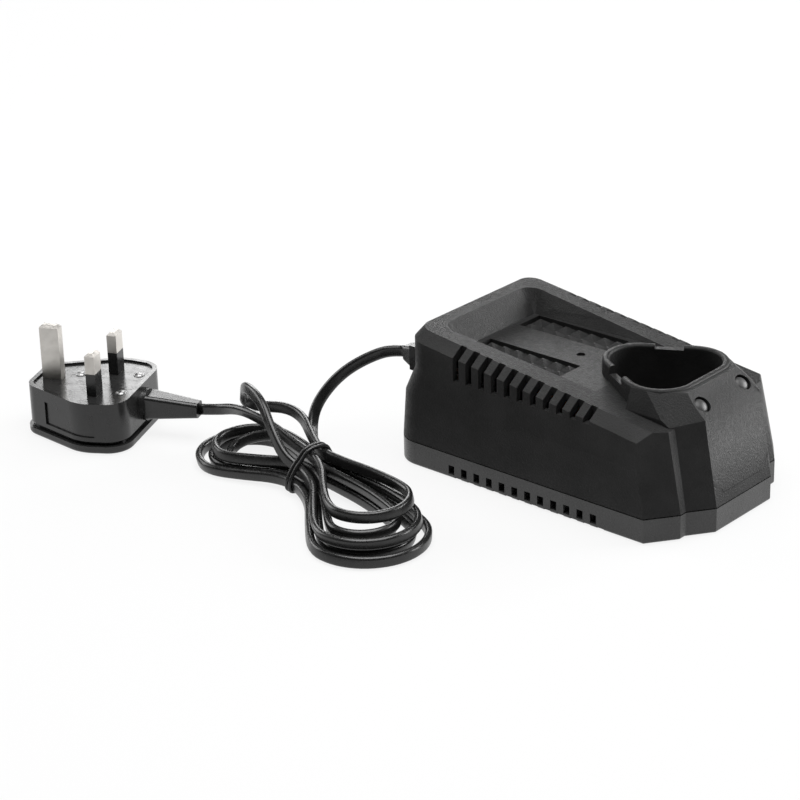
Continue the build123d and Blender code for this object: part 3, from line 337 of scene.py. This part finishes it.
def loop_points(index, loop, side):
    """Points of one loop: from the waist out along a run, round the loop's end and back."""
    reach, half_width, degrees, low, high = loop
    points = [hank_point(WAIST_TURN, 0, *WAIST[index])]
    lobe = (reach, degrees)
    points += run_points(WAIST[index], lobe, side, RUN_SHARES, half_width * side, low)
    swell = half_width / LOBE_SHRINK
    for angle in LOBE_ANGLES:
        slope = math.radians(angle)
        height = low + (high - low) * (angle / 180 + 0.5)
        along = side * (reach + swell * math.cos(slope))
        points.append(hank_point(degrees, along, -side * swell * math.sin(slope), height))
    back = tuple(reversed(RUN_SHARES))
    return points + run_points(WAIST[index + 1], lobe, side, back, -half_width * side, high)


def hank_points():
    """The hank's points: loops on the right and the left by turns, the upright loop, and the last loop."""
    points = []
    for index, right in enumerate(RIGHT_LOOPS):
        points += loop_points(index * 2, right, 1)
        passing = index * 2 + 1
        if index < len(LEFT_LOOPS):
            points += loop_points(passing, LEFT_LOOPS[index], -1)
        elif passing < len(WAIST) - 1:
            points.append(hank_point(WAIST_TURN, 0, *WAIST[passing]))
            points += [Vector(point) for point in UPRIGHT_LOOP]
    points.append(hank_point(WAIST_TURN, 0, *WAIST[-1]))
    return points


def front_line(height):
    """How far forward the flat front stands at a height."""
    share = (height - FRONT_FOOT.z) / (FRONT_BROW.z - FRONT_FOOT.z)
    return FRONT_FOOT.x + (FRONT_BROW.x - FRONT_FOOT.x) * share


def spot(point):
    """A place to the nearest hundredth, the same for every copy of a point at a sharp edge."""
    return tuple(round(value, 2) for value in point)


def faces_front(face):
    """Whether a face looks forward, square to the charger's length."""
    forward, sideways, upward = face.normal
    return forward > FORWARD_LEAST and upward > -DOWNWARD_MOST and abs(sideways) < SIDEWAYS_MOST


def front_points(mesh):
    """The points of the tower's outer front, by their place."""
    points = {}
    for face in mesh.polygons:
        if faces_front(face):
            for index in face.vertices:
                point = mesh.vertices[index].co / MM
                if FRONT_FOOT.z < point.z < EDGE_TOP + SNAP and point.x > front_line(point.z) - FRONT_DEPTH:
                    points[spot(point)] = point
    return points


def front_bows(points):
    """Heights of the front's points below its brow, in order, and how far each bows out of the flat."""
    below = sorted((point for point in points if point.z < FRONT_BROW.z), key=lambda point: point.z)
    return [point.z for point in below], [point.x - front_line(point.z) for point in below]


def front_faces(mesh):
    """The faces of the tower's front, up to the socket's rim."""
    return [face.index for face in mesh.polygons if faces_front(face) and face.center.x > FRONT_BACK * MM]


def shade_front(mesh, faces, directions):
    """Turns the shading of the front evenly from its foot to the slope under the socket."""
    low, high = SHADE_HEIGHTS
    for index in faces:
        for corner in mesh.polygons[index].loop_indices:
            height = mesh.vertices[mesh.loops[corner].vertex_index].co.z / MM
            if height < high:
                share = max(0, (height - low) / (high - low))
                directions[corner] = FRONT_FACING.lerp(SLOPE_FACING, share).normalized()
    mesh.normals_split_custom_set(directions)


def on_chamfer(point):
    """Whether a point lies on the slanted face beside the front."""
    mirrored = Vector((point.x, abs(point.y), point.z))
    return abs((mirrored - FRONT_FOOT).dot(CHAMFER_FACING)) < SNAP


def tray_step(point):
    """The level step of a point of the tray's wall, or nothing for a point that isn't on it."""
    back, side = TRAY_MIDDLE
    rise = point.z - TRAY_FLOOR
    height = DECK_HEIGHT - DECK_FALL * point.x - TRAY_FLOOR
    middle = Vector((max(point.x, back), max(-side, min(side, point.y))))
    out = point.xy - middle
    reach = TRAY_ROUND + rise * TRAY_TAPER
    if height < TRAY_LEAST or not -SNAP < rise < height + SNAP or abs(out.length - reach) > SNAP:
        return None
    foot = Vector((max(middle.x, FOOT_MIDDLE[0]), middle.y))
    if abs(middle.y) > side - SNAP:
        foot.y = math.copysign(FOOT_MIDDLE[1], middle.y)
    step = foot - middle + out.normalized() * (FOOT_ROUND - TRAY_ROUND)
    return step.to_3d() * (1 - rise / height)


def redraw(point, outer, bows):
    """Moves a point of the front, the far notch or a far slot to its place in the shown shell."""
    if spot(point) in outer and on_chamfer(point):
        if point.z > EDGE_START:
            point.z = EDGE_START + (point.z - EDGE_START) * EDGE_SQUEEZE
        point.x = front_line(point.z)
        point.y = math.copysign(FRONT_FOOT.y, point.y)
    elif FRONT_FOOT.z < point.z < FRONT_BROW.z and abs(point.y) < FRONT_FOOT.y:
        bow = numpy.interp(point.z, *bows)
        if point.x > front_line(point.z) + bow - FRONT_WALL:
            point.x -= bow
    elif abs(point.z - NOTCH_FLOOR) < SNAP and (point.xy - NOTCH_MIDDLE).length < NOTCH_REACH:
        point.z += NOTCH_RISE
    elif abs(point.y - SLOT_END) < SNAP and abs(point.z + DECK_FALL * point.x - DECK_HEIGHT) < SNAP:
        point.y -= SLOT_CUT


def make_upper_shell():
    """The upper shell, with its front, tray walls, far notch and far slots redrawn."""
    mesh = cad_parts["upper_housing"].data.copy()
    outer = front_points(mesh)
    bows = front_bows(outer.values())
    front = front_faces(mesh)
    directions = [Vector(corner.vector) for corner in mesh.corner_normals]
    wall = set()
    for vertex in mesh.vertices:
        point = vertex.co / MM
        step = tray_step(point)
        if step is None:
            redraw(point, outer, bows)
        else:
            point += step
            wall.add(vertex.index)
        vertex.co = place(point)
    mesh.update()
    for face in mesh.polygons:
        if wall.intersection(face.vertices) and face.normal.z > UPWARD_LEAST:
            for corner in face.loop_indices:
                directions[corner] = face.normal.copy()
    shade_front(mesh, front, directions)
    shell = bpy.data.objects.new("upper_shell", mesh)
    bpy.context.collection.objects.link(shell)
    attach(shell, "charger")
    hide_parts("upper_housing")


def add_piece(name, vertices, faces, material, slot):
    """A piece of the charger from its corners, in millimetres, and its faces."""
    mesh = bpy.data.meshes.new(name)
    mesh.from_pydata([place(vertex) for vertex in vertices], [], faces)
    mesh.materials.append(material)
    piece = bpy.data.objects.new(name, mesh)
    bpy.context.collection.objects.link(piece)
    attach(piece, "charger")
    return piece


def ring_faces(rings, sides):
    """Faces that join each ring of corners to the next."""
    faces = []
    for ring in range(rings - 1):
        low = ring * sides
        for side in range(sides):
            after = (side + 1) % sides
            faces.append((low + side, low + after, low + sides + after, low + sides + side))
    return faces


def capped_faces(rings, sides):
    """Faces that join rings of corners, closed at the first and the last ring."""
    faces = ring_faces(rings, sides)
    faces.append(tuple(reversed(range(sides))))
    faces.append(tuple(range((rings - 1) * sides, rings * sides)))
    return faces


def turned_rings(profile, seat, facing):
    """Corners and faces of a closed round form that stands on a seat."""
    turn = Vector(facing).to_track_quat("Z", "X").to_matrix()
    corners = []
    for radius, height in profile[:-1]:
        for side in range(ROUND_SIDES):
            angle = 2 * math.pi * side / ROUND_SIDES
            corner = Vector((radius * math.cos(angle), radius * math.sin(angle), height))
            corners.append(Vector(seat) + turn @ corner)
    faces = ring_faces(len(profile) - 1, ROUND_SIDES)
    corners.append(Vector(seat) + turn @ Vector((0, 0, profile[-1][1])))
    last = (len(profile) - 2) * ROUND_SIDES
    for side in range(ROUND_SIDES):
        faces.append((last + side, last + (side + 1) % ROUND_SIDES, len(corners) - 1))
    faces.append(tuple(reversed(range(ROUND_SIDES))))
    return corners, faces


def make_lenses():
    """The domed lens of each indicator, in its well."""
    for name, side in (("left_lens", 1), ("right_lens", -1)):
        seat = (LENS_SEAT[0], side * LENS_SEAT[1], LENS_SEAT[2])
        lens = add_piece(name, *turned_rings(LENS_PROFILE, seat, LENS_FACING), LENS, "housing")
        lens.data.shade_smooth()


def make_rivets():
    """The three rivets that hold the plug's pin plate."""
    corners, faces = [], []
    for seat in RIVET_PLACES:
        more, skin = turned_rings(RIVET_PROFILE, seat, (0, 0, 1))
        faces += [tuple(index + len(corners) for index in face) for face in skin]
        corners += more
    rivets = add_piece("plate_rivets", corners, faces, RIVET, "steel")
    rivets.data.shade_smooth()
    return rivets


def panel_ring(inset, low_rise, high_rise):
    """One outline of the front's bare panel, laid on the flat front."""
    foot, top = PANEL_HEIGHTS
    low, high = foot + inset, top - inset
    wide = PANEL_HALF_WIDTH - inset
    radius = PANEL_ROUND - inset
    ring = []
    for corner, (y, z) in enumerate([(1, 1), (-1, 1), (-1, -1), (1, -1)]):
        middle = (y * (wide - radius), (low + radius, high - radius)[z > 0])
        for step in range(PANEL_STEPS + 1):
            angle = math.radians(90 * corner + 90 / PANEL_STEPS * step)
            height = middle[1] + radius * math.sin(angle)
            point = Vector((front_line(height), middle[0] + radius * math.cos(angle), height))
            share = (height - foot) / (top - foot)
            ring.append(point + FRONT_FACING * (low_rise + (high_rise - low_rise) * share))
    return ring


def make_panel():
    """The bare raised panel on the front."""
    rings = [
        panel_ring(0, -PANEL_SUNK, -PANEL_SUNK),
        panel_ring(0, 0, 0),
        panel_ring(PANEL_BEVEL, *PANEL_RISES),
    ]
    faces = capped_faces(len(rings), len(rings[0]))
    mesh = add_piece("front_panel", sum(rings, []), faces, HOUSING, "housing").data
    even = [face.index for face in mesh.polygons if face.center.z > (PANEL_HEIGHTS[0] + PANEL_ROUND) * MM]
    shade_front(mesh, even, [Vector(corner.vector) for corner in mesh.corner_normals])


def smooth_line(name, points):
    """A smooth line with the given points as its control points."""
    curve = bpy.data.curves.new(name, "CURVE")
    curve.dimensions = "3D"
    spline = curve.splines.new("NURBS")
    spline.points.add(len(points) - 1)
    for target, point in zip(spline.points, points):
        target.co = (*place(point), 1)
    spline.order_u = 3
    spline.use_endpoint_u = True
    spline.resolution_u = LINE_STEPS
    return bpy.data.objects.new(name, curve)


def line_points(line):
    """The points of a smooth line, in order."""
    mesh = bpy.data.meshes.new_from_object(line)
    points = [vertex.co.copy() for vertex in mesh.vertices]
    bpy.data.meshes.remove(mesh)
    return points


def twin_section():
    """Outline of a flat twin cord: two round cores joined side by side, as (across the width, through)."""
    radius = CORD_THICKNESS / 2
    offset = CORD_WIDTH / 2 - radius
    outline = []
    for index in range(CORD_SIDES):
        angle = 2 * math.pi * (index + 0.5) / CORD_SIDES
        core = offset if math.cos(angle) > 0 else -offset
        groove = 1 - GROOVE_DEPTH * max(0, 1 - abs(math.cos(angle)) / GROOVE_WIDTH)
        outline.append((core + radius * math.cos(angle), radius * math.sin(angle) * groove))
    return outline


def flat_tube(name, points, roll):
    """A flat tube along points, on its edge and turned by a roll that depends on the share of its length."""
    section = twin_section()
    vertices = []
    count = len(points)
    for index, point in enumerate(points):
        ahead = points[min(index + 1, count - 1)] - points[max(index - 1, 0)]
        heading = ahead.normalized()
        upright = (Vector((0, 0, 1)) - heading * heading.z).normalized()
        upright.rotate(Matrix.Rotation(math.radians(roll(index / (count - 1))), 3, heading))
        across = heading.cross(upright)
        vertices += [point + (upright * wide + across * thick) * MM for wide, thick in section]
    mesh = bpy.data.meshes.new(name)
    mesh.from_pydata(vertices, [], capped_faces(count, len(section)))
    mesh.shade_smooth()
    tube = bpy.data.objects.new(name, mesh)
    bpy.context.collection.objects.link(tube)
    return tube


def cord_roll(share):
    """The cord's twist: more at each free end, and a slow sway in the hank."""
    first, last = SWAY_SPAN
    ends = sum(twist * math.exp(-((share - middle) / spread) ** 2) for twist, middle, spread in END_TWISTS)
    fade = min(1, max(0, (share - first) * SWAY_FADE), max(0, (last - share) * SWAY_FADE))
    return ends + SWAY * math.sin(share * SWAY_RATE) * fade


def make_cord():
    """The whole cord, from the gland through its hank to the plug."""
    line = smooth_line("cord_line", GLAND_LEAD + hank_points() + PLUG_LEAD)
    points = line_points(line)
    bpy.data.objects.remove(line)
    cord = flat_tube("mains_cord", points, cord_roll)
    cord.data.materials.append(CORD)
    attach(cord, "charger")
    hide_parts("gland_lead", "cord_hank", "plug_lead")
    on_cord = [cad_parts[name] for name in ON_CORD] + [make_tie(), make_rivets()]


def make_tie():
    """A thin wire, wound twice round the hank's waist."""
    points = []
    count = len(TIE_ROUND)
    for index in range(count * TIE_TURNS + 1):
        across, height = TIE_ROUND[index % count]
        along = TIE_PITCH * (index / count - TIE_TURNS / 2)
        points.append(hank_point(WAIST_TURN, along, across, height))
    line = smooth_line("tie_line", points)
    line.data.bevel_depth = TIE_RADIUS * MM
    line.data.bevel_resolution = 3
    line.data.use_fill_caps = True
    tie = bpy.data.objects.new("tie_wire", bpy.data.meshes.new_from_object(line))
    bpy.data.objects.remove(line)
    tie.data.shade_smooth()
    tie.data.materials.append(CORD)
    bpy.context.collection.objects.link(tie)
    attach(tie, "charger")
    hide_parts("cord_tie")
    return tie


def add_area(name, location, target, size, power):
    """A soft square lamp that points at a place."""
    light = bpy.data.lights.new(name, "AREA")
    light.size = size
    light.energy = power
    holder = bpy.data.objects.new(name, light)
    holder.location = location
    holder.rotation_euler = (Vector(target) - Vector(location)).to_track_quat("-Z", "Y").to_euler()
    bpy.context.collection.objects.link(holder)


def add_camera():
    """The photograph's camera."""
    azimuth = math.radians(CAMERA_AZIMUTH)
    elevation = math.radians(CAMERA_ELEVATION)
    roll = math.radians(CAMERA_ROLL)
    back = Vector((
        math.sin(azimuth) * math.cos(elevation),
        -math.cos(azimuth) * math.cos(elevation),
        math.sin(elevation),
    ))
    right = Vector((math.cos(azimuth), math.sin(azimuth), 0))
    upward = back.cross(right)
    rolled_right = right * math.cos(roll) + upward * math.sin(roll)
    rolled_up = upward * math.cos(roll) - right * math.sin(roll)
    data = bpy.data.cameras.new("camera")
    data.lens = CAMERA_LENS
    data.sensor_width = SENSOR
    camera = bpy.data.objects.new("camera", data)
    turn = Matrix((rolled_right, rolled_up, back)).transposed().to_4x4()
    camera.matrix_world = Matrix.Translation(place(CAMERA_PLACE)) @ turn
    bpy.context.collection.objects.link(camera)
    bpy.context.scene.camera = camera


def add_floor():
    """A plain pale floor that keeps the object's shadow."""
    mesh = bpy.data.meshes.new("floor")
    reach = FLOOR_REACH
    corners = [(-reach, -reach, 0), (reach, -reach, 0), (reach, reach, 0), (-reach, reach, 0)]
    mesh.from_pydata(corners, [], [(0, 1, 2, 3)])
    floor = bpy.data.objects.new("floor", mesh)
    floor.location.z = -FLOOR_DROP * MM
    bpy.context.collection.objects.link(floor)
    material, tree, shader = new_material("floor_paper")
    shader.inputs["Base Color"].default_value = (*grey(FLOOR_GREY), 1)
    shader.inputs["Roughness"].default_value = FLOOR_ROUGHNESS
    glow = tree.nodes.new("ShaderNodeEmission")
    glow.inputs["Color"].default_value = WHITE
    rays = tree.nodes.new("ShaderNodeLightPath")
    seen = tree.nodes.new("ShaderNodeMath")
    seen.operation = "MAXIMUM"
    tree.links.new(rays.outputs["Is Camera Ray"], seen.inputs[0])
    tree.links.new(rays.outputs["Is Glossy Ray"], seen.inputs[1])
    share = tree.nodes.new("ShaderNodeMath")
    share.operation = "MULTIPLY"
    share.inputs[1].default_value = FLOOR_GLOW
    tree.links.new(seen.outputs["Value"], share.inputs[0])
    blend = tree.nodes.new("ShaderNodeMixShader")
    tree.links.new(share.outputs["Value"], blend.inputs["Fac"])
    tree.links.new(shader.outputs["BSDF"], blend.inputs[1])
    tree.links.new(glow.outputs["Emission"], blend.inputs[2])
    tree.links.new(blend.outputs["Shader"], tree.nodes["Material Output"].inputs["Surface"])
    floor.data.materials.append(material)


def add_world():
    """Even pale surroundings."""
    world = bpy.data.worlds.new("surroundings")
    world.use_nodes = True
    background = world.node_tree.nodes["Background"]
    background.inputs["Color"].default_value = WHITE
    background.inputs["Strength"].default_value = SURROUNDINGS_STRENGTH
    bpy.context.scene.world = world


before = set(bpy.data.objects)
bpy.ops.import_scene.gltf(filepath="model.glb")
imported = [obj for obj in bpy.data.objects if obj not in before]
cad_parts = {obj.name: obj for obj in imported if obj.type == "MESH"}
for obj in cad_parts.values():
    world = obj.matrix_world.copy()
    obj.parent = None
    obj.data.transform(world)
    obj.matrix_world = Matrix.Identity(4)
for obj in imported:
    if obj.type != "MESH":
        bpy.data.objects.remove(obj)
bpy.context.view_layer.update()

HOUSING = moulded("housing_plastic", grey(0.012), grey(0.019), 0.36, 0.50, 1400, 0.6, specular=0.12)
BASE = moulded("tray_plastic", grey(0.022), grey(0.032), 0.24, 0.34, 1400, 0.25)
PLUG = moulded("plug_plastic", grey(0.010), grey(0.015), 0.18, 0.30, 500, 0.08)
PLATE = moulded("plate_plastic", grey(0.016), grey(0.026), 0.38, 0.52, 900, 0.15)
GLOSSY = moulded("plug_plate", grey(0.012), grey(0.018), 0.20, 0.30, 700, 0.10)
CORD = moulded("cord_sheath", grey(0.009), grey(0.014), 0.22, 0.34, 700, 0.08)
PIN = moulded("plated_pin", (0.50, 0.48, 0.45), (0.64, 0.62, 0.59), 0.36, 0.50, 900, 0.12, 1.0)
RIVET = moulded("rivet_steel", grey(0.24), grey(0.34), 0.30, 0.42, 900, 0.08, 1.0)
STEEL = moulded("zinc_steel", (0.50, 0.50, 0.50), (0.62, 0.62, 0.62), 0.28, 0.42, 900, 0.10, 1.0)
CONTACT = moulded("sprung_brass", (0.60, 0.45, 0.20), (0.72, 0.58, 0.30), 0.25, 0.38, 900, 0.10, 1.0)
COPPER = moulded("enamelled_copper", (0.45, 0.18, 0.07), (0.60, 0.28, 0.12), 0.30, 0.42, 900, 0.20, 1.0)
FERRITE = moulded("ferrite", grey(0.03), grey(0.06), 0.60, 0.75, 900, 0.20)
LAMINATE = moulded("board_laminate", (0.02, 0.12, 0.05), (0.03, 0.18, 0.08), 0.35, 0.50, 700, 0.10)
CAN = moulded("sleeved_can", (0.02, 0.03, 0.08), (0.03, 0.04, 0.11), 0.25, 0.40, 500, 0.05)
ALLOY = moulded("extruded_alloy", (0.50, 0.51, 0.53), (0.60, 0.61, 0.63), 0.35, 0.50, 900, 0.10, 1.0)
GLAZE = moulded("fuse_barrel", (0.70, 0.66, 0.58), (0.80, 0.77, 0.70), 0.25, 0.40, 500, 0.05)
LENS = moulded("lens_plastic", grey(0.035), grey(0.055), 0.34, 0.46, 500, 0.04, specular=0.3)
SMOKED = moulded("smoked_window", grey(0.008), grey(0.014), 0.10, 0.18, 500, 0.04)
RED_LAMP = moulded("red_lamp", (0.30, 0.02, 0.02), (0.42, 0.03, 0.03), 0.15, 0.25, 500, 0.04)
GREEN_LAMP = moulded("green_lamp", (0.02, 0.22, 0.05), (0.03, 0.32, 0.08), 0.15, 0.25, 500, 0.04)
CORE = moulded("core_sheath", (0.10, 0.04, 0.02), (0.15, 0.06, 0.03), 0.35, 0.50, 700, 0.08)

dress(HOUSING, "upper_housing")
dress(BASE, "lower_housing")
dress(SMOKED, "left_light_guide", "right_light_guide")
dress(CORD, "cord_gland")
dress(PLUG, "plug_body", "plug_strain_relief", "live_sleeve", "neutral_sleeve")
dress(GLOSSY, "plug_face", "fuse_carrier")
dress(PLATE, "terminal_block", "transformer_bobbin", "power_transistor", "controller_chip", "board_fuse")
dress(PIN, "earth_pin", "live_pin", "neutral_pin")
dress(STEEL, "case_screws", "board_screws", "transistor_screw")
dress(CONTACT, "contact_blades", "fuse_clips")
dress(COPPER, "transformer_winding")
dress(FERRITE, "transformer_core", "input_choke")
dress(LAMINATE, "circuit_board")
dress(CAN, "bulk_capacitor", "output_capacitor")
dress(ALLOY, "heatsink")
dress(GLAZE, "plug_fuse")
dress(RED_LAMP, "red_led")
dress(GREEN_LAMP, "green_led")
dress(CORE, "mains_leads")

make_upper_shell()
make_lenses()
make_panel()
make_cord()
add_camera()
add_floor()
add_world()
for lamp in LAMPS:
    add_area(*lamp)

bpy.context.scene.view_settings.view_transform = "Standard"
